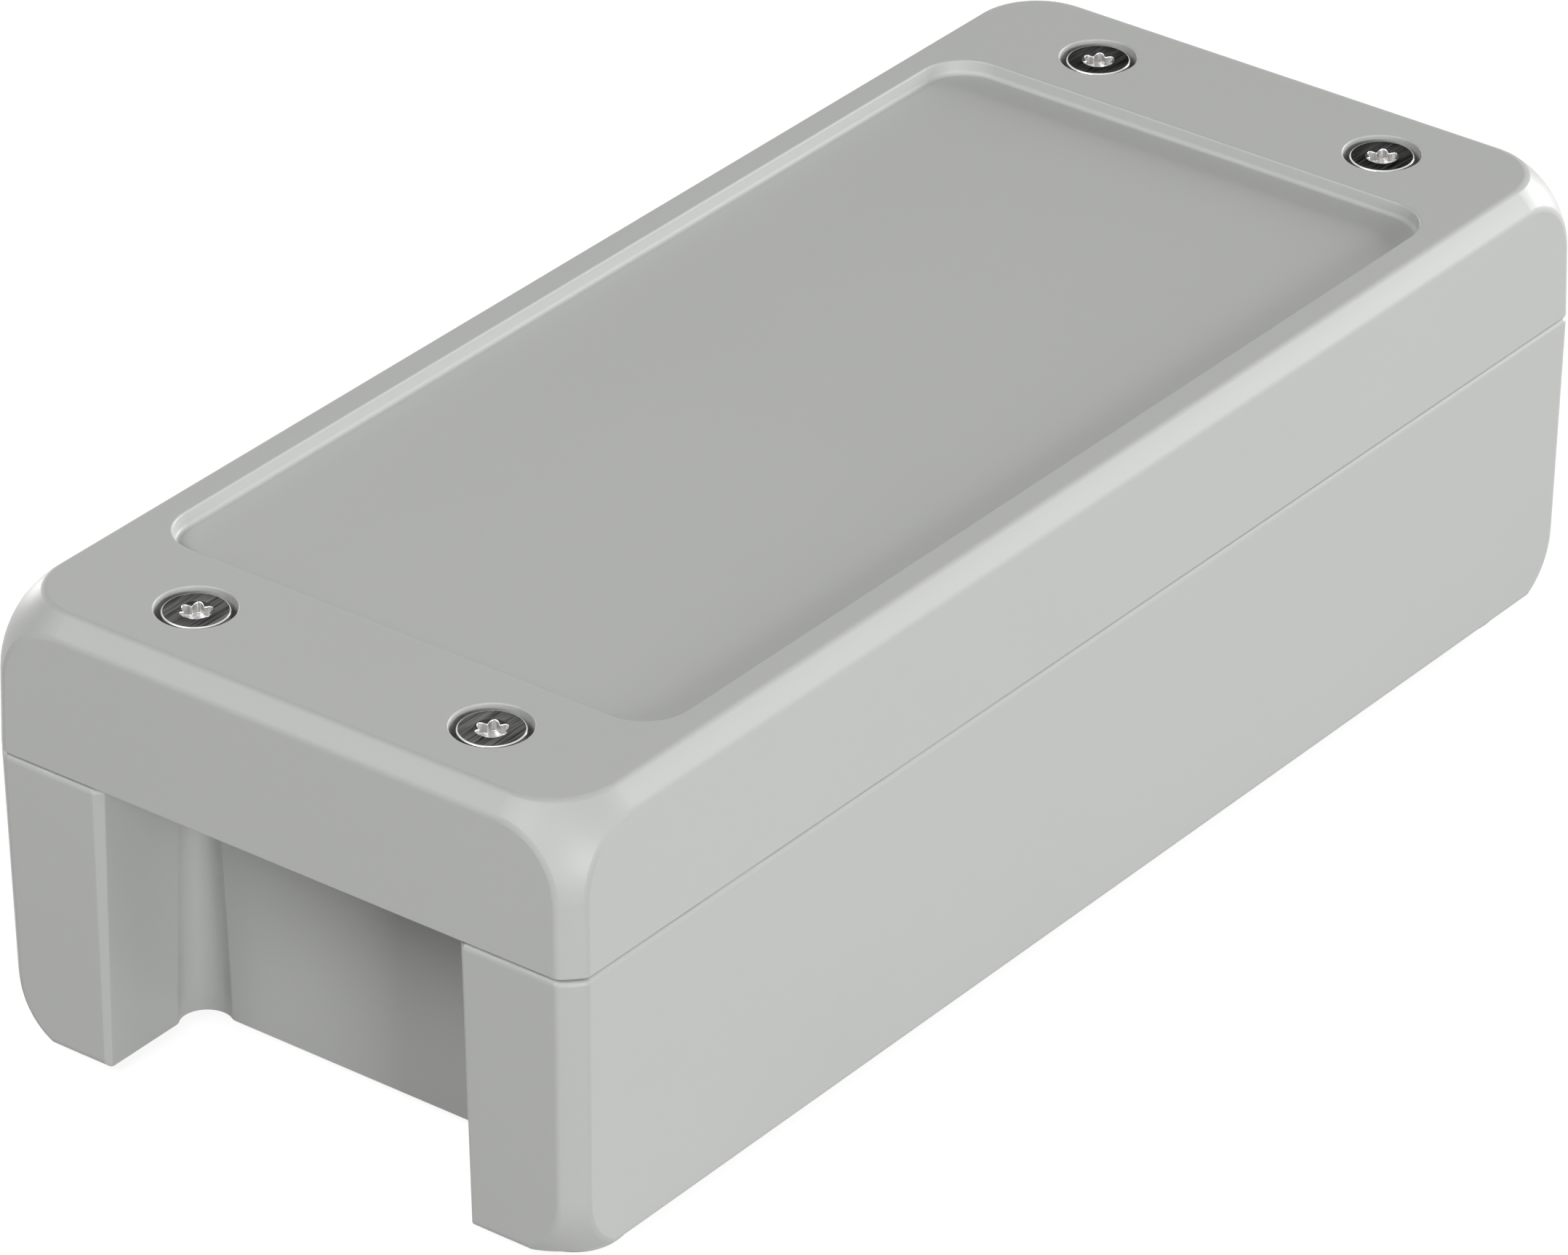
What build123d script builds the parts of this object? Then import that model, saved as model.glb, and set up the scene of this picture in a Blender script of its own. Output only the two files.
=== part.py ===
from build123d import *
import math
import os

os.makedirs("parts", exist_ok=True)

# Aluminium case of two castings, in mm. X runs along its length, Y across it and Z up.
# The origin lies under the middle of the case, on the surface that its feet stand on.

# Outer form
length = 197.0  # at the joint between lid and base, where the case is largest
width = 85.0
lid_height = 19.8
base_height = 37.45
joint_gap = 0.25  # open line between the two outer rims
draft = 1.0  # degrees, so that each casting leaves its mould
edge_band = 2.55  # how far the soft band along an edge reaches into each face beside it
corner_radius = 8.0  # how round each flat face is at its corners
lid_softness = 1.2  # rounding where a band runs into a face of the lid
base_softness = 1.0  # the same on the base, and round its bottom
base_corner_rise = 7.9  # middle of the base's lower corner balls above its bottom
base_rim_radius = 0.7
lid_rim_radius = 0.2

# Walls
wall = 4.2
lid_plate = 4.8
base_floor = 3.2
inner_corner_radius = 5.0
inner_floor_radius = 2.0

# Label field sunk into the lid
field_end_border = 22.1  # from the case's end face, at the joint, to the field
field_side_border = 6.2
field_depth = 1.8
field_corner_radius = 6.0
field_wall_slope = 8.0  # degrees
field_rim_radius = 0.3
field_floor_radius = 0.6

# Open bay in each end of the base, between two corner legs
bay_width = 51.6  # at the joint
bay_depth = 16.6  # from the end face to the bay's back wall, at the joint
bay_edge_chamfer = 1.0  # flare along the mouth of the bay
bay_flare_angle = 45.0
bay_corner_radius = 2.0  # at the joint, small enough to lie within the relief
bay_edge_radius = 0.25
bay_roof = 3.0  # web that closes the bay under the lid
bay_roof_setback = 4.3  # the web stops this far behind the end face
relief_radius = 3.15  # upright half-round relief in the bay's back corners, at the foot
relief_inset = 2.55  # its axis, in from both walls of the corner at the foot
relief_slope = 1.75  # degrees, narrower towards the top
relief_shoulder_radius = 0.9
leg_core_wall = 3.4  # wall left round the hollow core of a leg
leg_core_depth = 31.0
leg_core_radius = 2.5

# Lid screws, held captive in the lid
screw_end_inset = 12.45  # from the case's end face, at the joint, to the screw
screw_bay_inset = 4.5  # from the bay's side wall
screw_thread_radius = 1.95
screw_waist_radius = 1.5
screw_head_radius = 4.0
screw_head_height = 2.6
screw_head_edge_radius = 0.2
screw_head_sink = 0.4  # top of the head below the lid's top face
screw_engagement = 5.0
screw_tip_chamfer = 0.5
drive_lobes = 6
drive_tip_radius = 1.97  # over the lobes
drive_root_radius = 1.42  # and between them
drive_flute_radius = 0.62
drive_lobe_edge_radius = 0.25
drive_depth = 1.4
drive_entry_radius = 2.0  # cone that leads the driver in
drive_entry_slope = 28.0
screw_pocket_radius = 4.8
screw_pocket_rim_radius = 0.2
screw_bore_radius = 2.25
column_radius = 5.0
thread_fit = 0.05
thread_boss_radius = 4.8
thread_boss_drop = 5.2

# Washer that keeps each screw in the lid
washer_radius = 3.8
washer_bore_radius = 1.6
washer_thickness = 0.8
washer_fit = 0.1
washer_pocket_depth = 1.0

# Seal between the castings
seal_groove_width = 2.2
seal_groove_depth = 3.0
seal_fit = 0.1
gasket_height = 1.8
tongue_width = 1.2

# Pillars for a circuit board
board_span_x = 136.0
board_span_y = 58.0
pillar_radius = 3.8
pillar_height = 6.0
pillar_hole_radius = 1.65
pillar_hole_depth = 6.5

# Feet
foot_radius = 6.25
foot_height = 1.0
foot_edge_chamfer = 0.3
foot_left_inset = 9.5  # from the case's faces, at the joint, to the middle of a foot
foot_right_inset = 15.1
foot_side_inset = 8.0

# How closely a selector matches, and how upright an edge is to count as such
near = 0.01
upright = 0.95

# Levels
base_bottom = foot_height
joint_level = base_bottom + base_height
lid_bottom = joint_level + joint_gap
lid_top = lid_bottom + lid_height
lid_ceiling = lid_top - lid_plate
base_inside_floor = base_bottom + base_floor
head_seat = lid_top - screw_head_sink - screw_head_height
screw_tip = joint_level - screw_engagement

# Plan sizes that follow from them
slope = math.tan(math.radians(draft))
half_length = length / 2
half_width = width / 2
ball_inset = corner_radius + edge_band
ball_radius = math.hypot(corner_radius, ball_inset)
bay_back = half_length - bay_depth
cavity_half_length = bay_back - wall
cavity_half_width = half_width - wall
seal_length = 2 * cavity_half_length + wall
seal_width = 2 * cavity_half_width + wall
seal_corner_radius = inner_corner_radius + wall / 2
field_length = length - 2 * field_end_border
field_width = width - 2 * field_side_border
screw_x = half_length - screw_end_inset
screw_y = bay_width / 2 - screw_bay_inset
screw_places = [(sx * screw_x, sy * screw_y) for sx in (-1, 1) for sy in (-1, 1)]
place_names = ["front_left", "back_left", "front_right", "back_right"]
ends = (-1, 1)
sides = (-1, 1)


def upright_edges(part):
    """Edges that run nearly along Z."""
    return part.edges().filter_by(lambda edge: abs(edge.tangent_at(0.5).Z) > upright)


def without(edges, others):
    """Edges that aren't among the others, in their own order."""
    return edges.filter_by(lambda edge: edge not in others)


def edges_above(part, level):
    """Edges whose middle is above a level."""
    return part.edges().filter_by(lambda edge: edge.center().Z > level)


def edges_below(part, level):
    """Edges whose middle is below a level."""
    return part.edges().filter_by(lambda edge: edge.center().Z < level)


def flat_face_at(part, level):
    """Level face of a part at a height."""
    return part.faces().filter_by(Plane.XY).filter_by(lambda face: abs(face.center().Z - level) < near)


def soft_hull(joint, up, height, stand_off):
    """Block a little larger than a casting, round along all its edges, that trims the casting's own."""
    plane = Plane(origin=(0, 0, joint - up * ball_radius), x_dir=(1, 0, 0), z_dir=(0, 0, up))
    margin = (ball_radius - ball_inset) / math.cos(math.radians(draft)) + ball_radius * slope
    with BuildPart() as hull:
        with BuildSketch(plane):
            Rectangle(length + 2 * margin, width + 2 * margin)
        extrude(amount=ball_radius + height + stand_off, taper=draft)
        behind_joint = hull.faces().sort_by(Axis.Z, reverse=up < 0)[0].edges()
        outer_edges = without(hull.edges(), behind_joint).sort_by(Axis.Z)
        fillet(outer_edges, ball_radius)
    return hull.part


def seal_ring(band):
    """Sketch of a band that follows the seal's line."""
    RectangleRounded(seal_length + band, seal_width + band, seal_corner_radius + band / 2)
    RectangleRounded(
        seal_length - band, seal_width - band, seal_corner_radius - band / 2, mode=Mode.SUBTRACT
    )


# Lid: outer form, drafted upwards
lid_hull = soft_hull(lid_bottom, 1, lid_height, ball_radius - ball_inset)

with BuildPart() as lid:
    with BuildSketch(Plane.XY.offset(lid_bottom)):
        Rectangle(length, width)
    extrude(amount=lid_height, taper=draft)
    add(lid_hull, mode=Mode.INTERSECT)
    fillet(edges_above(lid, lid_bottom + lid_rim_radius), lid_softness)
    fillet(lid.faces().sort_by(Axis.Z)[0].edges(), lid_rim_radius)

    # Label field
    with BuildSketch(Plane.XY.offset(lid_top)):
        RectangleRounded(field_length, field_width, field_corner_radius)
    extrude(amount=-field_depth, taper=field_wall_slope, mode=Mode.SUBTRACT)
    fillet(flat_face_at(lid, lid_top - field_depth).edges(), field_floor_radius)
    top_face = lid.faces().filter_by(Plane.XY).sort_by(Axis.Z)[-1]
    fillet(top_face.inner_wires().edges(), field_rim_radius)

    # Sealed space under the plate
    with BuildSketch(Plane.XY.offset(lid_bottom)):
        RectangleRounded(2 * cavity_half_length, 2 * cavity_half_width, inner_corner_radius)
    extrude(amount=lid_height - lid_plate, taper=draft, mode=Mode.SUBTRACT)

    # Spaces at the ends, outside the seal, for the screw columns
    end_space = half_length - bay_roof_setback - bay_back
    with BuildSketch(Plane.XY.offset(lid_bottom)):
        for end in ends:
            with Locations((end * (bay_back + end_space / 2), 0)):
                RectangleRounded(end_space, 2 * cavity_half_width, inner_corner_radius)
    extrude(amount=lid_height - lid_plate, taper=draft, mode=Mode.SUBTRACT)

    # Columns stand on the base and carry the screws
    with BuildSketch(Plane.XY.offset(joint_level)):
        with Locations(*screw_places):
            Circle(column_radius)
    extrude(amount=lid_ceiling - joint_level + lid_plate / 2)
    with Locations(*[(x, y, lid_top) for x, y in screw_places]):
        CounterBoreHole(screw_bore_radius, screw_pocket_radius, lid_top - head_seat)
    top_face = lid.faces().filter_by(Plane.XY).sort_by(Axis.Z)[-1]
    pocket_rims = top_face.edges().filter_by(GeomType.CIRCLE).filter_by(
        lambda edge: abs(edge.radius - screw_pocket_radius) < near
    )
    fillet(pocket_rims, screw_pocket_rim_radius)
    with BuildSketch(Plane.XY.offset(joint_level)):
        with Locations(*screw_places):
            Circle(washer_radius + washer_fit)
    extrude(amount=washer_pocket_depth, mode=Mode.SUBTRACT)

    # Groove that holds the gasket
    with BuildSketch(Plane.XY.offset(lid_bottom)):
        seal_ring(seal_groove_width)
    extrude(amount=seal_groove_depth, mode=Mode.SUBTRACT)

lid.part.label = "lid"
export_step(lid.part, "parts/lid.step")


# Base: outer form, drafted downwards
base_hull = soft_hull(joint_level, -1, base_height, ball_radius - base_corner_rise)
downwards = Plane(origin=(0, 0, joint_level), x_dir=(1, 0, 0), z_dir=(0, 0, -1))
bay_foot_half_width = bay_width / 2 + base_height * slope
bay_foot_back = bay_back - base_height * slope
relief_x = bay_foot_back + relief_inset
relief_y = bay_foot_half_width - relief_inset
tongue_top = lid_bottom + seal_groove_depth - gasket_height


def beside_bay(edge):
    """Whether an edge of the base belongs to one of its bays."""
    reach = bay_foot_half_width + bay_edge_chamfer + bay_edge_radius
    return abs(edge.center().X) > bay_foot_back - relief_radius and abs(edge.center().Y) < reach


def in_back_corner(edge):
    """Whether an edge of a bay is nearer to its back wall than to its mouth."""
    return abs(edge.center().X) < bay_back + bay_depth / 2


with BuildPart() as base:
    with BuildSketch(downwards):
        Rectangle(length, width)
    extrude(amount=base_height, taper=draft)
    add(base_hull, mode=Mode.INTERSECT)
    fillet(edges_below(base, joint_level - base_rim_radius), base_softness)

    # Bays in the ends, with flared mouths and a relief in each back corner
    flare_width = bay_width + 4 * bay_edge_chamfer  # as far outside the end face as the flare is deep
    with BuildSketch(downwards):
        for end in ends:
            with Locations((end * (bay_back + bay_depth), 0)):
                RectangleRounded(2 * bay_depth, bay_width, bay_corner_radius)
    extrude(amount=base_height, taper=-draft, mode=Mode.SUBTRACT)
    with BuildSketch(downwards):
        for end in ends:
            with Locations((end * half_length, 0)):
                Trapezoid(flare_width, 2 * bay_edge_chamfer, bay_flare_angle, rotation=end * 90)
    extrude(amount=base_height, taper=-draft, mode=Mode.SUBTRACT)
    with BuildSketch(Plane.XY.offset(base_bottom)):
        with Locations(*[(end * relief_x, side * relief_y) for end in ends for side in sides]):
            Circle(relief_radius)
    extrude(amount=base_height, taper=relief_slope, mode=Mode.SUBTRACT)

    # Web that closes each bay under the lid
    web_back = bay_back - wall / 2
    web_front = half_length - bay_roof_setback
    with BuildSketch(Plane.XY.offset(joint_level)):
        for end in ends:
            with Locations((end * (web_back + web_front) / 2, 0)):
                Rectangle(web_front - web_back, bay_width + wall)
    extrude(amount=-bay_roof)
    fillet(base.faces().sort_by(Axis.Z)[-1].outer_wire().edges(), base_rim_radius)

    # Roundings in the bays: the shoulders of the reliefs first, then the edges round the mouths
    fillet(upright_edges(base).filter_by(in_back_corner), relief_shoulder_radius)
    along_shoulders = upright_edges(base).filter_by(in_back_corner)
    round_mouths = edges_below(base, joint_level - base_rim_radius).filter_by(beside_bay)
    fillet(without(round_mouths, along_shoulders), bay_edge_radius)

    # Threaded bosses under the web
    with BuildSketch(Plane.XY.offset(joint_level - thread_boss_drop)):
        with Locations(*screw_places):
            Circle(thread_boss_radius)
    extrude(amount=thread_boss_drop - bay_roof / 2)

    # Inside
    with BuildSketch(downwards):
        RectangleRounded(2 * cavity_half_length, 2 * cavity_half_width, inner_corner_radius)
    extrude(amount=joint_level - base_inside_floor, taper=draft, mode=Mode.SUBTRACT)
    fillet(flat_face_at(base, base_inside_floor).edges(), inner_floor_radius)
    with BuildSketch(Plane.XY.offset(base_inside_floor - pillar_hole_depth + pillar_height)):
        with GridLocations(board_span_x, board_span_y, 2, 2):
            Circle(pillar_radius)
    extrude(amount=pillar_hole_depth)
    with Locations(Plane.XY.offset(base_inside_floor + pillar_height)):
        with GridLocations(board_span_x, board_span_y, 2, 2):
            Hole(pillar_hole_radius, pillar_hole_depth)

    # Hollow cores of the legs, closed at the foot
    core_x = half_length - leg_core_wall - bay_back
    core_y = half_width - bay_width / 2 - 2 * leg_core_wall
    with BuildSketch(downwards):
        with GridLocations(2 * bay_back + core_x, bay_width + 2 * leg_core_wall + core_y, 2, 2):
            RectangleRounded(core_x, core_y, leg_core_radius)
    extrude(amount=leg_core_depth, taper=draft, mode=Mode.SUBTRACT)

    # Threads for the lid screws, and the tongue that presses on the gasket
    with Locations(*[(x, y, joint_level) for x, y in screw_places]):
        Hole(screw_thread_radius + thread_fit, thread_boss_drop)
    with BuildSketch(Plane.XY.offset(joint_level)):
        seal_ring(tongue_width)
    extrude(amount=tongue_top - joint_level)

base.part.label = "base"
export_step(base.part, "parts/base.step")


# Gasket in the lid's groove, on the tongue of the base
with BuildPart() as gasket:
    with BuildSketch(Plane.XY.offset(tongue_top)):
        seal_ring(seal_groove_width - 2 * seal_fit)
    extrude(amount=gasket_height)

gasket.part.label = "gasket"
export_step(gasket.part, "parts/gasket.step")


# Lid screws and the washers that keep them in the lid
head_top = head_seat + screw_head_height
drive_entry_drop = drive_entry_radius * math.tan(math.radians(drive_entry_slope))
stand_align = (Align.CENTER, Align.CENTER, Align.MIN)
drop_align = (Align.CENTER, Align.CENTER, Align.MAX)

for (x, y), place in zip(screw_places, place_names):
    with BuildPart() as lid_screw:
        with Locations((x, y, head_seat)):
            Cylinder(screw_head_radius, screw_head_height, align=stand_align)
        fillet(lid_screw.faces().sort_by(Axis.Z)[-1].edges(), screw_head_edge_radius)
        with BuildSketch(Plane.XY.offset(head_top)):
            with Locations((x, y)):
                Circle(drive_tip_radius)
                with PolarLocations(drive_root_radius + drive_flute_radius, drive_lobes):
                    Circle(drive_flute_radius, mode=Mode.SUBTRACT)
            fillet(vertices(), drive_lobe_edge_radius)
        extrude(amount=-drive_depth, mode=Mode.SUBTRACT)
        with Locations((x, y, head_top)):
            Cone(0, drive_entry_radius, drive_entry_drop, align=drop_align, mode=Mode.SUBTRACT)
        with BuildSketch(Plane.XY.offset(joint_level)):
            with Locations((x, y)):
                Circle(screw_waist_radius)
        extrude(amount=head_seat - joint_level)
        with BuildSketch(Plane.XY.offset(screw_tip)):
            with Locations((x, y)):
                Circle(screw_thread_radius)
        extrude(amount=screw_engagement)
        chamfer(lid_screw.faces().sort_by(Axis.Z)[0].edges(), screw_tip_chamfer)
    lid_screw.part.label = "lid_screw_" + place
    export_step(lid_screw.part, "parts/lid_screw_" + place + ".step")

    with BuildPart() as screw_retainer:
        with BuildSketch(Plane.XY.offset(joint_level)):
            with Locations((x, y)):
                Circle(washer_radius)
                Circle(washer_bore_radius, mode=Mode.SUBTRACT)
        extrude(amount=washer_thickness)
    screw_retainer.part.label = "screw_retainer_" + place
    export_step(screw_retainer.part, "parts/screw_retainer_" + place + ".step")


# Feet stuck under the legs
foot_y = half_width - foot_side_inset
foot_rows = (foot_left_inset - half_length, half_length - foot_right_inset)
foot_places = [(x, side * foot_y) for x in foot_rows for side in sides]

for (x, y), place in zip(foot_places, place_names):
    with BuildPart() as foot:
        with Locations((x, y, 0)):
            Cylinder(foot_radius, foot_height, align=stand_align)
        chamfer(foot.faces().sort_by(Axis.Z)[0].edges(), foot_edge_chamfer)
    foot.part.label = "foot_" + place
    export_step(foot.part, "parts/foot_" + place + ".step")
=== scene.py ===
# %% [markdown]
# # Aluminium enclosure
#
# The case is two castings with four screws, a seal and four feet. Its solids come ready made from the
# CAD model as a fixed frame, in metres, with the feet on the floor at z = 0. This lesson gives them
# their surfaces, a smooth powder coat, streaked steel and rubber, and models the screws anew.

# %% Load the frame
import math

import bmesh
import bpy
from mathutils import Matrix, Vector


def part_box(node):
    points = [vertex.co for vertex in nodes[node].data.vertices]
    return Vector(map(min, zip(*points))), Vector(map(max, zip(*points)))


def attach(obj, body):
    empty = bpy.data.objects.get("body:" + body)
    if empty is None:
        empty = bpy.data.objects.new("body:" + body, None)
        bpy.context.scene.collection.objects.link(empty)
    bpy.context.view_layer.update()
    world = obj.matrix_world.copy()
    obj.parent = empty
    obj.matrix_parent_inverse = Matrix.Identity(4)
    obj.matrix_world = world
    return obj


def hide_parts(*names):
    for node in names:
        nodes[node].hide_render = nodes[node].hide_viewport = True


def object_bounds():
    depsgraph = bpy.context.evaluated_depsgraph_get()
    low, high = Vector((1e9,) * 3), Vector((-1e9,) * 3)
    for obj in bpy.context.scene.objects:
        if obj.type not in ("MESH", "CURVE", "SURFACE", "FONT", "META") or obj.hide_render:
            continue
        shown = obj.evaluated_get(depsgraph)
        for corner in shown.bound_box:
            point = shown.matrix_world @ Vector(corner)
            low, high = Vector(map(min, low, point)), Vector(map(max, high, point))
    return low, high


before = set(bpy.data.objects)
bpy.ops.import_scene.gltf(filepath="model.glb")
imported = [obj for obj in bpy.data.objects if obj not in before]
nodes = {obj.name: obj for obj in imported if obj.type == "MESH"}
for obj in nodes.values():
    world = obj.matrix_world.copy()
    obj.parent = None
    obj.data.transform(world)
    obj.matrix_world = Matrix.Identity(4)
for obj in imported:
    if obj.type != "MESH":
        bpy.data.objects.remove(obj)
cad_box = [list(corner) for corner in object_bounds()]
bpy.ops.object.select_all(action="DESELECT")
print("nodes:", len(nodes), "box:", cad_box)

# %% [markdown]
# Every surface is built from shader nodes. A few small helpers keep the cells short: they add a node with
# its values, join two sockets, and make a node group or a material. Patterns read Object coordinates, so
# that they stay on the piece from any side.

# %% Helpers for shader nodes
MM = 0.001


def add_node(tree, kind, **values):
    """Adds a shader node; names of sockets or of settings may be given as values."""
    node = tree.nodes.new(kind)
    for name, value in values.items():
        if hasattr(node, name):
            setattr(node, name, value)
        else:
            node.inputs[name.replace("_", " ")].default_value = value
    return node


def join(tree, source, target):
    """Links an output socket to an input socket."""
    tree.links.new(source, target)


def new_group(name, inputs, outputs):
    """A node group with named inputs (kind, name, value) and outputs (kind, name)."""
    group = bpy.data.node_groups.new(name, "ShaderNodeTree")
    for kind, title, value in inputs:
        socket = group.interface.new_socket(title, in_out="INPUT", socket_type="NodeSocket" + kind)
        socket.default_value = value
    for kind, title in outputs:
        group.interface.new_socket(title, in_out="OUTPUT", socket_type="NodeSocket" + kind)
    start = group.nodes.new("NodeGroupInput")
    end = group.nodes.new("NodeGroupOutput")
    return group, start, end


def use_group(tree, group, **values):
    """Places a node group in a material, with its own values."""
    node = tree.nodes.new("ShaderNodeGroup")
    node.node_tree = group
    for name, value in values.items():
        node.inputs[name.replace("_", " ")].default_value = value
    return node


def new_material(name):
    """A material with its node tree and its Principled shader."""
    material = bpy.data.materials.new(name)
    material.use_nodes = True
    tree = material.node_tree
    surface = tree.nodes["Principled BSDF"]
    return material, tree, surface


def link_skin(tree, surface, skin, bump_depth):
    """Joins a group's color, roughness and height to the shader."""
    join(tree, skin.outputs["Color"], surface.inputs["Base Color"])
    join(tree, skin.outputs["Roughness"], surface.inputs["Roughness"])
    bump = add_node(tree, "ShaderNodeBump", Distance=bump_depth)
    join(tree, skin.outputs["Height"], bump.inputs["Height"])
    join(tree, bump.outputs["Normal"], surface.inputs["Normal"])


def dress(node_name, material):
    """Gives a carried-over CAD piece its material."""
    data = nodes[node_name].data
    data.materials.clear()
    data.materials.append(material)


print("helpers ready")

# %% [markdown]
# Powder coat is a thin skin of baked powder. Close up it is a little uneven: a soft orange peel of about
# a millimetre, a finer grain inside it, and a tone that drifts by a percent or two over the casting.
# Moulded rubber has such a skin too, with other strengths, so the effect is one node group.

# %% Group for a baked or moulded skin
skin_group, skin_in, skin_out = new_group(
    "moulded_skin",
    [
        ("Color", "Color", (0.5, 0.5, 0.5, 1)),
        ("Float", "Peel size", 1.4),
        ("Float", "Grain size", 0.22),
        ("Float", "Relief", 0.2),
        ("Float", "Drift", 0.03),
        ("Float", "Roughness", 0.5),
    ],
    [("Color", "Color"), ("Float", "Roughness"), ("Float", "Height")],
)
print("inputs:", [socket.name for socket in skin_in.outputs if socket.name])

# %% Three noises of the skin
skin_place = skin_group.nodes.new("ShaderNodeTexCoord")


def skin_noise(size_socket, detail):
    """Noise whose grain is the given size in millimetres."""
    scale = add_node(skin_group, "ShaderNodeMath", operation="DIVIDE")
    scale.inputs[0].default_value = 1 / MM
    join(skin_group, size_socket, scale.inputs[1])
    noise = add_node(skin_group, "ShaderNodeTexNoise", Detail=detail)
    join(skin_group, skin_place.outputs["Object"], noise.inputs["Vector"])
    join(skin_group, scale.outputs[0], noise.inputs["Scale"])
    return noise


peel = skin_noise(skin_in.outputs["Peel size"], 1)
grain = skin_noise(skin_in.outputs["Grain size"], 2)
CLOUD_SCALE = 28  # patches of about 36 mm
cloud = add_node(skin_group, "ShaderNodeTexNoise", Scale=CLOUD_SCALE, Detail=2)
join(skin_group, skin_place.outputs["Object"], cloud.inputs["Vector"])
print("peel, grain and cloud are there")

# %% Relief, tone and gloss of the skin
GRAIN_SHARE = 0.3  # of the relief, the rest is peel
height = add_node(skin_group, "ShaderNodeMix", data_type="FLOAT")
height.inputs["Factor"].default_value = GRAIN_SHARE
join(skin_group, peel.outputs["Fac"], height.inputs["A"])
join(skin_group, grain.outputs["Fac"], height.inputs["B"])
relief = add_node(skin_group, "ShaderNodeMath", operation="MULTIPLY")
join(skin_group, height.outputs["Result"], relief.inputs[0])
join(skin_group, skin_in.outputs["Relief"], relief.inputs[1])
join(skin_group, relief.outputs[0], skin_out.inputs["Height"])

swing = add_node(skin_group, "ShaderNodeMath", operation="SUBTRACT")
join(skin_group, cloud.outputs["Fac"], swing.inputs[0])
swing.inputs[1].default_value = 0.5  # the middle of the noise
drift = add_node(skin_group, "ShaderNodeMath", operation="MULTIPLY_ADD")
join(skin_group, swing.outputs[0], drift.inputs[0])
join(skin_group, skin_in.outputs["Drift"], drift.inputs[1])
drift.inputs[2].default_value = 1
tone = add_node(skin_group, "ShaderNodeVectorMath", operation="SCALE")
join(skin_group, skin_in.outputs["Color"], tone.inputs[0])
join(skin_group, drift.outputs[0], tone.inputs["Scale"])
join(skin_group, tone.outputs["Vector"], skin_out.inputs["Color"])

matt = add_node(skin_group, "ShaderNodeMath", operation="MULTIPLY")
join(skin_group, skin_in.outputs["Roughness"], matt.inputs[0])
join(skin_group, drift.outputs[0], matt.inputs[1])
join(skin_group, matt.outputs[0], skin_out.inputs["Roughness"])
print("group:", skin_group.name, len(skin_group.nodes), "nodes")


# %% Paint on the castings
def skin_material(name, color, roughness, relief_strength, bump_depth, **sizes):
    """A material with the moulded skin; sizes may give another grain or peel."""
    material, tree, surface = new_material(name)
    values = {"Color": (*color, 1), "Roughness": roughness, "Relief": relief_strength, **sizes}
    link_skin(tree, surface, use_group(tree, skin_group, **values), bump_depth)
    return material


paint = skin_material(
    "case_paint", color=(0.474, 0.483, 0.467), roughness=0.48, relief_strength=0.25, bump_depth=0.02 * MM
)
for name in ("lid", "base"):
    dress(name, paint)
print("painted the castings")

# %% [markdown]
# The feet and the gasket are rubber. Rubber is duller than the paint, with a finer grain and a stronger
# relief, so the skin group serves again with other values.

# %% Rubber
rubber_skin = {"relief_strength": 0.4, "bump_depth": 0.03 * MM, "Grain_size": 0.15}
gasket_rubber = skin_material("gasket_rubber", color=(0.03, 0.03, 0.03), roughness=0.8, **rubber_skin)
foot_rubber = skin_material("foot_rubber", color=(0.5, 0.505, 0.49), roughness=0.7, **rubber_skin)
dress("gasket", gasket_rubber)
foot_names = [name for name in nodes if name.startswith("foot_")]
for name in foot_names:
    dress(name, foot_rubber)
print("feet:", foot_names)

# %% [markdown]
# The screws are what the eye goes to, so they are modelled here with the soft lips and edges that catch
# the light. Each has a round head with a six-lobe socket, a waist that lets it hang in the lid, and a
# rolled thread. A boolean cut would leave a ragged rim, so the socket grows out of one circle instead:
# the circle is extruded ring by ring, and each ring is pulled into shape by its place round the lobes.

# %% Sizes of a screw
head_low, head_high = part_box("lid_screw_front_left")
HEAD_RADIUS = (head_high[0] - head_low[0]) / 2
SCREW_LENGTH = head_high[2] - head_low[2]
HEAD_HEIGHT = 2.6 * MM
HEAD_EDGE = 0.2 * MM
ENTRY_RADIUS = 2.03 * MM
LOBE_TIP = 1.92 * MM
LOBE_ROOT = 1.42 * MM
ENTRY_SLOPE = math.tan(math.radians(28))
SOCKET_DEPTH = 1.4 * MM
SOCKET_DIP = 0.2 * MM  # the floor sinks this much to its middle
DIP_SHARE = 0.3  # size of that middle, against the lobes
LIP_WIDTH = 0.07 * MM
WAIST_RADIUS = 1.5 * MM
THREAD_RADIUS = 1.95 * MM
THREAD_LENGTH = 5 * MM
THREAD_PITCH = 0.7 * MM
THREAD_DEPTH = 0.3 * MM
RINGS_PER_TURN = 8
LOBES = 6
TIP_BREADTH = 0.7  # below 1 the tips are broader than the gaps between them
STEPS_PER_LOBE = 16
AROUND = LOBES * STEPS_PER_LOBE
LOBE_TURN = math.radians(30)
TINY = 0.001 * MM  # places closer than this are the same
SHARP_TURN = math.radians(40)  # edges that turn more than this stay sharp
print("head", round(HEAD_RADIUS / MM, 2), "mm, screw", round(SCREW_LENGTH / MM, 2), "mm")


# %% Helpers for edit mode
def pick(piece, test):
    """Selects the vertices whose place passes a test, with the edges and faces between them."""
    shape = bmesh.from_edit_mesh(piece.data)
    for part in (*shape.verts, *shape.edges, *shape.faces):
        part.select = False
    for vertex in shape.verts:
        vertex.select = test(vertex.co)
    shape.select_flush_mode()
    bmesh.update_edit_mesh(piece.data)


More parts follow.
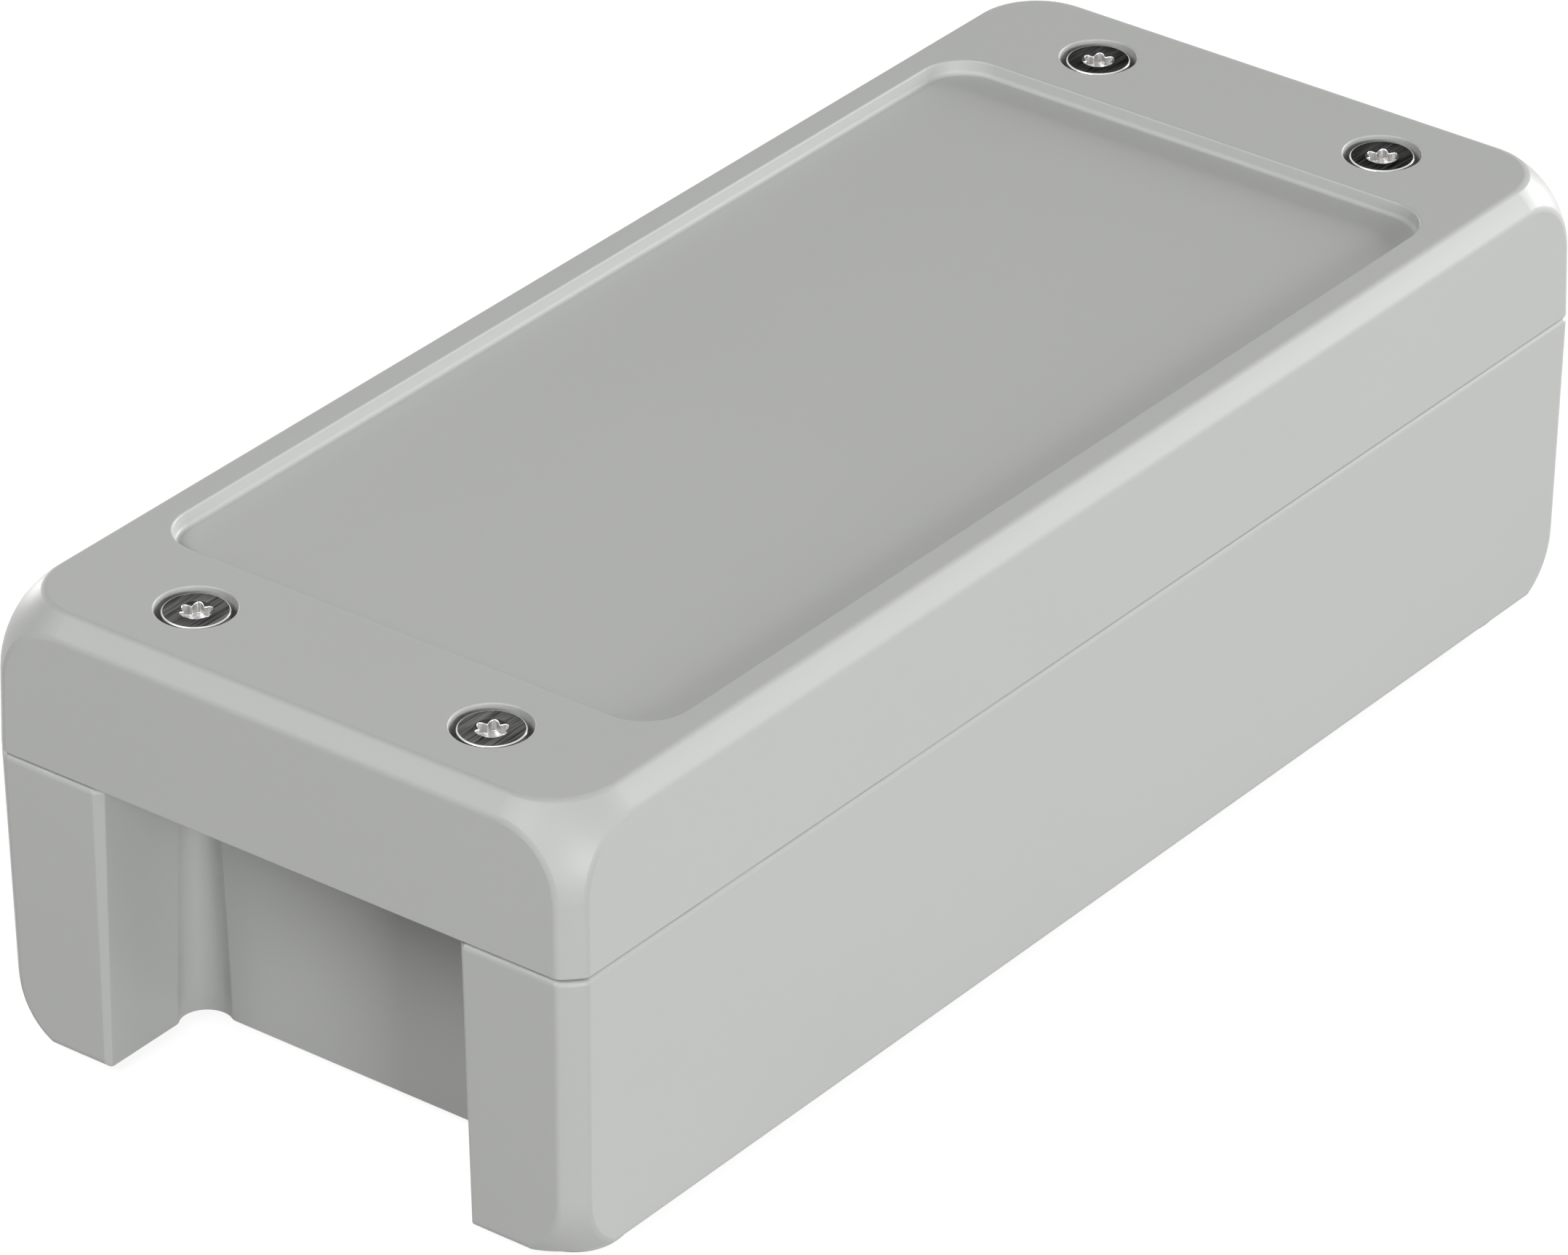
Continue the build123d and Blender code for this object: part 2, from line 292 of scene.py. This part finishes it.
def turn_of(place):
    """Angle of a place round the axis, counted from the middle of a lobe, in whole lobe steps."""
    angle = math.atan2(place.y, place.x) - LOBE_TURN
    return round(angle / math.tau * AROUND) % STEPS_PER_LOBE


def reach_of(step):
    """Radius of the six-lobe outline at a step: a smooth wave with broad tips."""
    wave = (1 + math.cos(math.tau * step / STEPS_PER_LOBE)) / 2
    return LOBE_ROOT + (LOBE_TIP - LOBE_ROOT) * wave**TIP_BREADTH


def grow_ring(piece, level, radius_factor):
    """Extrudes the selected ring to a level and scales it about the axis."""
    bpy.ops.mesh.extrude_edges_move()
    bpy.ops.transform.resize(value=(radius_factor, radius_factor, 0), center_override=(0, 0, 0))
    bpy.ops.transform.translate(value=(0, 0, level))


print("edit helpers ready")

# %% [markdown]
# The socket first. Its lip follows the cone that leads the driver in, so it lies deeper between the
# lobes than at their tips. The lip and the edge of the floor get a small bevel, because these bright
# lines are what makes a real socket readable.

# %% Socket of a screw
bpy.ops.object.select_all(action="DESELECT")
bpy.ops.mesh.primitive_circle_add(vertices=AROUND, radius=ENTRY_RADIUS, location=(0, 0, 0))
screw = bpy.context.object
screw.name = "screw_model"
bpy.ops.object.mode_set(mode="EDIT")
bpy.ops.mesh.select_mode(type="VERT")
bpy.ops.mesh.select_all(action="SELECT")
first_drop = 0.05 * MM  # only keeps the new ring apart until it takes its shape
grow_ring(screw, -first_drop, 1)
for step in range(STEPS_PER_LOBE):
    reach = reach_of(step)
    pick(
        screw,
        lambda place: place.z < 0 and abs(place.xy.length - ENTRY_RADIUS) < TINY and turn_of(place) == step,
    )
    inwards = reach / ENTRY_RADIUS
    bpy.ops.transform.resize(value=(inwards, inwards, 1), center_override=(0, 0, 0))
    bpy.ops.transform.translate(value=(0, 0, first_drop - (ENTRY_RADIUS - reach) * ENTRY_SLOPE))
pick(screw, lambda place: place.z < 0)
grow_ring(screw, -SOCKET_DEPTH, 1)
grow_ring(screw, -SOCKET_DEPTH - SOCKET_DIP, DIP_SHARE)
bpy.ops.mesh.edge_face_add()
print("socket:", len(bmesh.from_edit_mesh(screw.data).verts), "points")

# %% Lips of the socket
pick(screw, lambda place: -SOCKET_DEPTH - SOCKET_DIP / 2 < place.z < 0)
bpy.ops.mesh.select_mode(type="EDGE")
for edge in bmesh.from_edit_mesh(screw.data).edges:
    first, second = (vertex.co for vertex in edge.verts)
    edge.select = edge.select and turn_of(first) != turn_of(second)
bmesh.update_edit_mesh(screw.data)
bpy.ops.mesh.bevel(offset=LIP_WIDTH, segments=3, affect="EDGES", clamp_overlap=False)
bpy.ops.mesh.select_mode(type="VERT")
print("with its lips:", len(bmesh.from_edit_mesh(screw.data).verts), "points")

# %% [markdown]
# Then the head and the shank, outwards and down from the same first circle. The thread is one more
# stack of rings: each point moves out where the helix passes it, which needs no separate coil.

# %% Head and shank of a screw
pick(screw, lambda place: abs(place.z) < TINY and place.xy.length > ENTRY_RADIUS - TINY)
grow_ring(screw, 0, HEAD_RADIUS / ENTRY_RADIUS)
grow_ring(screw, -HEAD_HEIGHT, 1)
grow_ring(screw, -HEAD_HEIGHT, WAIST_RADIUS / HEAD_RADIUS)
thread_start = -SCREW_LENGTH + THREAD_LENGTH
grow_ring(screw, thread_start, 1)
core_radius = THREAD_RADIUS - THREAD_DEPTH
grow_ring(screw, thread_start, core_radius / WAIST_RADIUS)
thread_rings = round((THREAD_LENGTH - 2 * THREAD_DEPTH) / THREAD_PITCH * RINGS_PER_TURN)
for ring in range(1, thread_rings + 1):
    grow_ring(screw, thread_start - ring * THREAD_PITCH / RINGS_PER_TURN, 1)
grow_ring(screw, -SCREW_LENGTH, (core_radius - THREAD_DEPTH) / core_radius)
bpy.ops.mesh.edge_face_add()
print("rings of the thread:", thread_rings)

# %% Rolled thread
thread_end = thread_start - thread_rings * THREAD_PITCH / RINGS_PER_TURN
shape = bmesh.from_edit_mesh(screw.data)
for vertex in shape.verts:
    place = vertex.co
    if thread_end + THREAD_DEPTH < place.z < thread_start - THREAD_DEPTH:
        turns = place.z / THREAD_PITCH - math.atan2(place.y, place.x) / math.tau
        ridge = 1 - abs(2 * (turns % 1) - 1)
        growth = 1 + THREAD_DEPTH * ridge / core_radius
        place.xy = place.xy * growth
bmesh.update_edit_mesh(screw.data)
print("thread from", round(thread_start / MM, 2), "to", round(thread_end / MM, 2), "mm")

# %% Edge of the head, and shading
pick(screw, lambda place: abs(place.z) < TINY and place.xy.length > HEAD_RADIUS - TINY)
bpy.ops.mesh.bevel(offset=HEAD_EDGE, segments=6, affect="EDGES")
bpy.ops.mesh.select_all(action="SELECT")
bpy.ops.mesh.remove_doubles(threshold=2 * TINY)
bpy.ops.mesh.normals_make_consistent(inside=False)
bpy.ops.object.mode_set(mode="OBJECT")
bpy.ops.object.shade_smooth_by_angle(angle=SHARP_TURN)
bpy.ops.object.modifier_add(type="WEIGHTED_NORMAL")
screw.modifiers[-1].keep_sharp = True
bpy.ops.object.modifier_apply(modifier=screw.modifiers[-1].name)
print("screw:", len(screw.data.polygons), "faces")

# %% [markdown]
# A screw like this is cold headed, then its face is ground flat on a belt and blackened. The belt leaves
# long scratches, all in one direction. The rim is rolled bright with fine lines round it, and the punch
# leaves upright streaks in the socket. All three are noise that is stretched a lot one way, so one node
# group makes them.

# %% Group for streaked metal
streak_group, streak_in, streak_out = new_group(
    "streaked_metal",
    [
        ("Vector", "Fineness", (110, 4500, 0)),
        ("Color", "Dark", (0.03, 0.03, 0.03, 1)),
        ("Color", "Light", (0.2, 0.2, 0.2, 1)),
        ("Float", "Roughness", 0.3),
    ],
    [("Color", "Color"), ("Float", "Roughness"), ("Float", "Height")],
)
streak_place = streak_group.nodes.new("ShaderNodeTexCoord")
stretched = add_node(streak_group, "ShaderNodeVectorMath", operation="MULTIPLY")
join(streak_group, streak_place.outputs["Object"], stretched.inputs[0])
join(streak_group, streak_in.outputs["Fineness"], stretched.inputs[1])
DARK_BELOW = 0.34  # noise from here to LIGHT_ABOVE runs from the dark colour to the light one
LIGHT_ABOVE = 0.68
LINE_ROUGHNESS = 0.1  # light lines are this much rougher
lines = add_node(streak_group, "ShaderNodeTexNoise", Scale=1, Detail=4, Roughness=0.7)
join(streak_group, stretched.outputs["Vector"], lines.inputs["Vector"])
contrast = add_node(streak_group, "ShaderNodeMapRange")
contrast.inputs["From Min"].default_value = DARK_BELOW
contrast.inputs["From Max"].default_value = LIGHT_ABOVE
join(streak_group, lines.outputs["Fac"], contrast.inputs["Value"])
shade = add_node(streak_group, "ShaderNodeMix", data_type="RGBA")
join(streak_group, contrast.outputs["Result"], shade.inputs["Factor"])
join(streak_group, streak_in.outputs["Dark"], shade.inputs["A"])
join(streak_group, streak_in.outputs["Light"], shade.inputs["B"])
join(streak_group, shade.outputs["Result"], streak_out.inputs["Color"])
rubbed = add_node(streak_group, "ShaderNodeMath", operation="MULTIPLY_ADD")
join(streak_group, contrast.outputs["Result"], rubbed.inputs[0])
rubbed.inputs[1].default_value = LINE_ROUGHNESS
join(streak_group, streak_in.outputs["Roughness"], rubbed.inputs[2])
join(streak_group, rubbed.outputs[0], streak_out.inputs["Roughness"])
join(streak_group, contrast.outputs["Result"], streak_out.inputs["Height"])
print("group:", streak_group.name, len(streak_group.nodes), "nodes")


# %% Steels of a screw
def streaked_steel(name, fineness, dark, light, roughness, bump_depth):
    """Bare steel with streaks; fineness is high across them and low along them."""
    material, tree, surface = new_material(name)
    surface.inputs["Metallic"].default_value = 1
    values = {"Fineness": fineness, "Dark": (*dark, 1), "Light": (*light, 1), "Roughness": roughness}
    link_skin(tree, surface, use_group(tree, streak_group, **values), bump_depth)
    return material


ground_steel = streaked_steel(
    "screw_face_ground",
    fineness=(110, 2900, 0),
    dark=(0.03, 0.03, 0.03),
    light=(0.205, 0.203, 0.201),
    roughness=0.28,
    bump_depth=0.004 * MM,
)
rim_steel = streaked_steel(
    "screw_rim_bright",
    fineness=(300, 300, 9000),
    dark=(0.6, 0.59, 0.58),
    light=(0.82, 0.81, 0.8),
    roughness=0.12,
    bump_depth=0.002 * MM,
)
socket_steel = streaked_steel(
    "screw_socket",
    fineness=(2600, 2600, 120),
    dark=(0.44, 0.435, 0.43),
    light=(0.86, 0.85, 0.84),
    roughness=0.27,
    bump_depth=0.006 * MM,
)
land_steel = streaked_steel(
    "screw_land_black",
    fineness=(900, 900, 900),
    dark=(0.025, 0.025, 0.025),
    light=(0.07, 0.069, 0.068),
    roughness=0.22,
    bump_depth=0.002 * MM,
)
print("steels:", [steel.name for steel in (ground_steel, rim_steel, socket_steel, land_steel)])

# %% [markdown]
# The two screws at the right end are painted darker than the two at the left end. This painted shade stands
# in for the darker reflections that those screws show. The ground face's colour is darkened along the case
# for that, between the group's color and the shader. A tint on the shader's own socket keeps the black from
# turning grey where it is seen at a low angle.

# %% Painted darker reflection on the screws at the right end
ground_tree = ground_steel.node_tree
ground_surface = ground_tree.nodes["Principled BSDF"]
ground_streaks = ground_surface.inputs["Base Color"].links[0].from_node
ground_surface.inputs["Specular Tint"].default_value = (0.35, 0.35, 0.35, 1)
along = ground_tree.nodes.new("ShaderNodeTexCoord")
along_x = ground_tree.nodes.new("ShaderNodeSeparateXYZ")
join(ground_tree, along.outputs["Object"], along_x.inputs[0])
# painted shade: the face colour darkens towards the right end, standing in for a darker reflection
reflection_shade_ramp = add_node(ground_tree, "ShaderNodeMapRange")
SCREW_END = 86 * MM  # the screws stand about this far from the middle of the case
RIGHT_PAINTED_SHADE = 0.42  # painted shade: brightness of the right screws against the left ones
reflection_shade_ramp.inputs["From Min"].default_value = -SCREW_END
reflection_shade_ramp.inputs["From Max"].default_value = SCREW_END
reflection_shade_ramp.inputs["To Min"].default_value = 1
reflection_shade_ramp.inputs["To Max"].default_value = RIGHT_PAINTED_SHADE
join(ground_tree, along_x.outputs["X"], reflection_shade_ramp.inputs["Value"])
face_with_painted_shade = add_node(ground_tree, "ShaderNodeVectorMath", operation="SCALE")
join(ground_tree, ground_streaks.outputs["Color"], face_with_painted_shade.inputs[0])
join(ground_tree, reflection_shade_ramp.outputs["Result"], face_with_painted_shade.inputs["Scale"])
join(ground_tree, face_with_painted_shade.outputs["Vector"], ground_surface.inputs["Base Color"])
print("right screws at", RIGHT_PAINTED_SHADE, "of the left ones")

# %% [markdown]
# Each face takes its finish by place and tilt. Flat ones outside the socket are ground. In the socket the
# sloping lands are black, walls and floor are streaked, and the small lips between them are bright.

# %% Finishes by face
FLAT_TILT = 0.999  # upward part of a face's normal, 1 where the face is level
LAND_TILT = 0.84  # a face in the socket that looks up less than this is a lip
WALL_TILT = 0.15  # and less than this, a wall
LAND_DEPTH = 0.4 * MM
kinds = {"face": ground_steel, "rim": rim_steel, "socket": socket_steel, "land": land_steel}
for material in kinds.values():
    screw.data.materials.append(material)


def finish_of(face):
    """Kind of finish for a face of the screw."""
    middle = face.center
    in_socket = middle.xy.length < ENTRY_RADIUS and middle.z > -SOCKET_DEPTH - 1.5 * SOCKET_DIP
    tilt = face.normal.z
    if tilt > FLAT_TILT and not in_socket:
        return "face"
    if in_socket and middle.z > -LAND_DEPTH and tilt > LAND_TILT:
        return "land"
    if in_socket and not WALL_TILT < tilt < LAND_TILT:
        return "socket"
    return "rim"


for face in screw.data.polygons:
    face.material_index = list(kinds).index(finish_of(face))
for index, kind in enumerate(kinds):
    print(kind, sum(face.material_index == index for face in screw.data.polygons), "faces")

# %% [markdown]
# Four copies stand in the lid's pockets, where the plain screws of the CAD model are. Each has its own
# mesh, and its place goes into that mesh while its object stays at the origin. So Object coordinates run
# on from one screw to the next, and no two faces have the same scratches.

# %% One screw in each pocket
for node_name in [name for name in nodes if name.startswith("lid_screw_")]:
    low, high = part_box(node_name)
    place = Vector(((low[0] + high[0]) / 2, (low[1] + high[1]) / 2, high[2]))
    piece = screw.copy()
    piece.data = screw.data.copy()
    piece.name = node_name.replace("lid_screw", "six_lobe_screw")
    piece.data.transform(Matrix.Translation(place))
    bpy.context.scene.collection.objects.link(piece)
    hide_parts(node_name)
    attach(piece, "root")
bpy.data.objects.remove(screw)
print("screws placed")

# %% [markdown]
# The washers that keep the screws in the lid are stamped from bright sheet, so they take the rim's steel.

# %% Washers
washer_names = [name for name in nodes if name.startswith("screw_retainer_")]
for name in washer_names:
    dress(name, rim_steel)
print("washers:", washer_names)

# %% [markdown]
# The camera is a long lens from the front left and above, as a catalogue picture is taken, so that the
# edges run nearly parallel. It stands a little more than a metre away and looks down by 30 degrees.

# %% Camera
TOP = cad_box[1][2]
AZIMUTH = math.radians(-52.49)
ELEVATION = math.radians(30.08)
camera_data = bpy.data.cameras.new("camera")
camera_data.sensor_width = 36
camera_data.lens = 227.9
camera_data.clip_end = 20
camera = bpy.data.objects.new("camera", camera_data)
bpy.context.scene.collection.objects.link(camera)
camera.location = (-0.80976, -0.61724, 0.55507 + TOP)
level_reach = math.cos(ELEVATION)
look = Vector((-math.sin(AZIMUTH) * level_reach, math.cos(AZIMUTH) * level_reach, -math.sin(ELEVATION)))
camera.rotation_euler = look.to_track_quat("-Z", "Y").to_euler()
bpy.context.scene.camera = camera
bpy.context.scene.view_settings.view_transform = "Standard"
print("camera looks along", [round(v, 3) for v in look])

# %% [markdown]
# A catalogue picture has a white ground. The floor and the world are white to whatever looks at them,
# the camera or a shiny surface, but they send the object no light of their own beyond a paper floor's
# share. That leaves all of the shading to the lamps. The floor is partly lit by the lamps and partly
# white by itself, so that it still shows a soft shadow.

# %% White world
def seen_rays(tree):
    """1 for rays from the camera, and for those that mirror or pass a surface, else 0."""
    rays = add_node(tree, "ShaderNodeLightPath")
    mirrored = add_node(tree, "ShaderNodeMath", operation="ADD", use_clamp=True)
    join(tree, rays.outputs["Is Camera Ray"], mirrored.inputs[0])
    join(tree, rays.outputs["Is Glossy Ray"], mirrored.inputs[1])
    passed = add_node(tree, "ShaderNodeMath", operation="ADD", use_clamp=True)
    join(tree, mirrored.outputs[0], passed.inputs[0])
    join(tree, rays.outputs["Is Transmission Ray"], passed.inputs[1])
    return passed.outputs[0]


world = bpy.data.worlds.new("studio")
bpy.context.scene.world = world
world.use_nodes = True
world_back = world.node_tree.nodes["Background"]
world_back.inputs["Color"].default_value = (1, 1, 1, 1)
join(world.node_tree, seen_rays(world.node_tree), world_back.inputs["Strength"])
print("world:", world.name)

# %% White floor
FLOOR_RETURN = 0.3  # share of the light that the floor sends back to the object
FLOOR_LIT_SHARE = 0.25  # how white the lamps make the floor
FLOOR_OWN_WHITE = 0.88  # how white it is by itself
bpy.ops.mesh.primitive_plane_add(size=6, location=(0, 0, 0))
floor = bpy.context.object
floor.name = "floor"
paper = bpy.data.materials.new("floor_paper")
paper.use_nodes = True
paper_tree = paper.node_tree
paper_tree.nodes.remove(paper_tree.nodes["Principled BSDF"])
sheet_back = add_node(paper_tree, "ShaderNodeBsdfDiffuse", Color=(FLOOR_RETURN,) * 3 + (1,))
sheet_lit = add_node(paper_tree, "ShaderNodeBsdfDiffuse", Color=(FLOOR_LIT_SHARE,) * 3 + (1,))
sheet_glow = add_node(paper_tree, "ShaderNodeEmission", Strength=FLOOR_OWN_WHITE)
sheet_front = add_node(paper_tree, "ShaderNodeAddShader")
join(paper_tree, sheet_lit.outputs[0], sheet_front.inputs[0])
join(paper_tree, sheet_glow.outputs[0], sheet_front.inputs[1])
sheet = add_node(paper_tree, "ShaderNodeMixShader")
join(paper_tree, seen_rays(paper_tree), sheet.inputs[0])
join(paper_tree, sheet_back.outputs[0], sheet.inputs[1])
join(paper_tree, sheet_front.outputs[0], sheet.inputs[2])
join(paper_tree, sheet.outputs[0], paper_tree.nodes["Material Output"].inputs["Surface"])
floor.data.materials.append(paper)
print("floor:", floor.name)

# %% [markdown]
# The sides of the case are lighter than its top, and the floor of the label field is darkest close
# under its near wall. So most of the light comes in low, from softboxes that stand round the front. Two
# high ones on the left and a weak one overhead fill the end and the top, and a low one behind keeps the
# back of the case from going dark.

# %% Light
LAMP_DISTANCE = 1.8


def softbox(name, around, above, size, power):
    """Square lamp aimed at the case; degrees round from the front to the left, and up."""
    turn = math.radians(around)
    rise = math.radians(above)
    toward = Vector((-math.sin(turn) * math.cos(rise), -math.cos(turn) * math.cos(rise), math.sin(rise)))
    data = bpy.data.lights.new(name, "AREA")
    data.size = size
    data.energy = power
    lamp = bpy.data.objects.new(name, data)
    lamp.location = toward * LAMP_DISTANCE
    lamp.rotation_euler = (-toward).to_track_quat("-Z", "Y").to_euler()
    bpy.context.scene.collection.objects.link(lamp)


lamps = [  # name, degrees round and up, size in metres, power in watts
    ("right_softbox", -75, 12, 0.6, 29.5),
    ("front_softbox", 0, 12, 0.6, 6.5),
    ("front_left_softbox", 28, 12, 0.6, 18.5),
    ("left_softbox", 100, 45, 0.8, 13.2),
    ("back_left_softbox", 130, 45, 0.8, 5.5),
    ("back_softbox", 200, 4, 0.2, 10),
    ("top_softbox", 0, 90, 0.9, 2.2),
]
for values in lamps:
    softbox(*values)
print("lamps:", len(lamps))
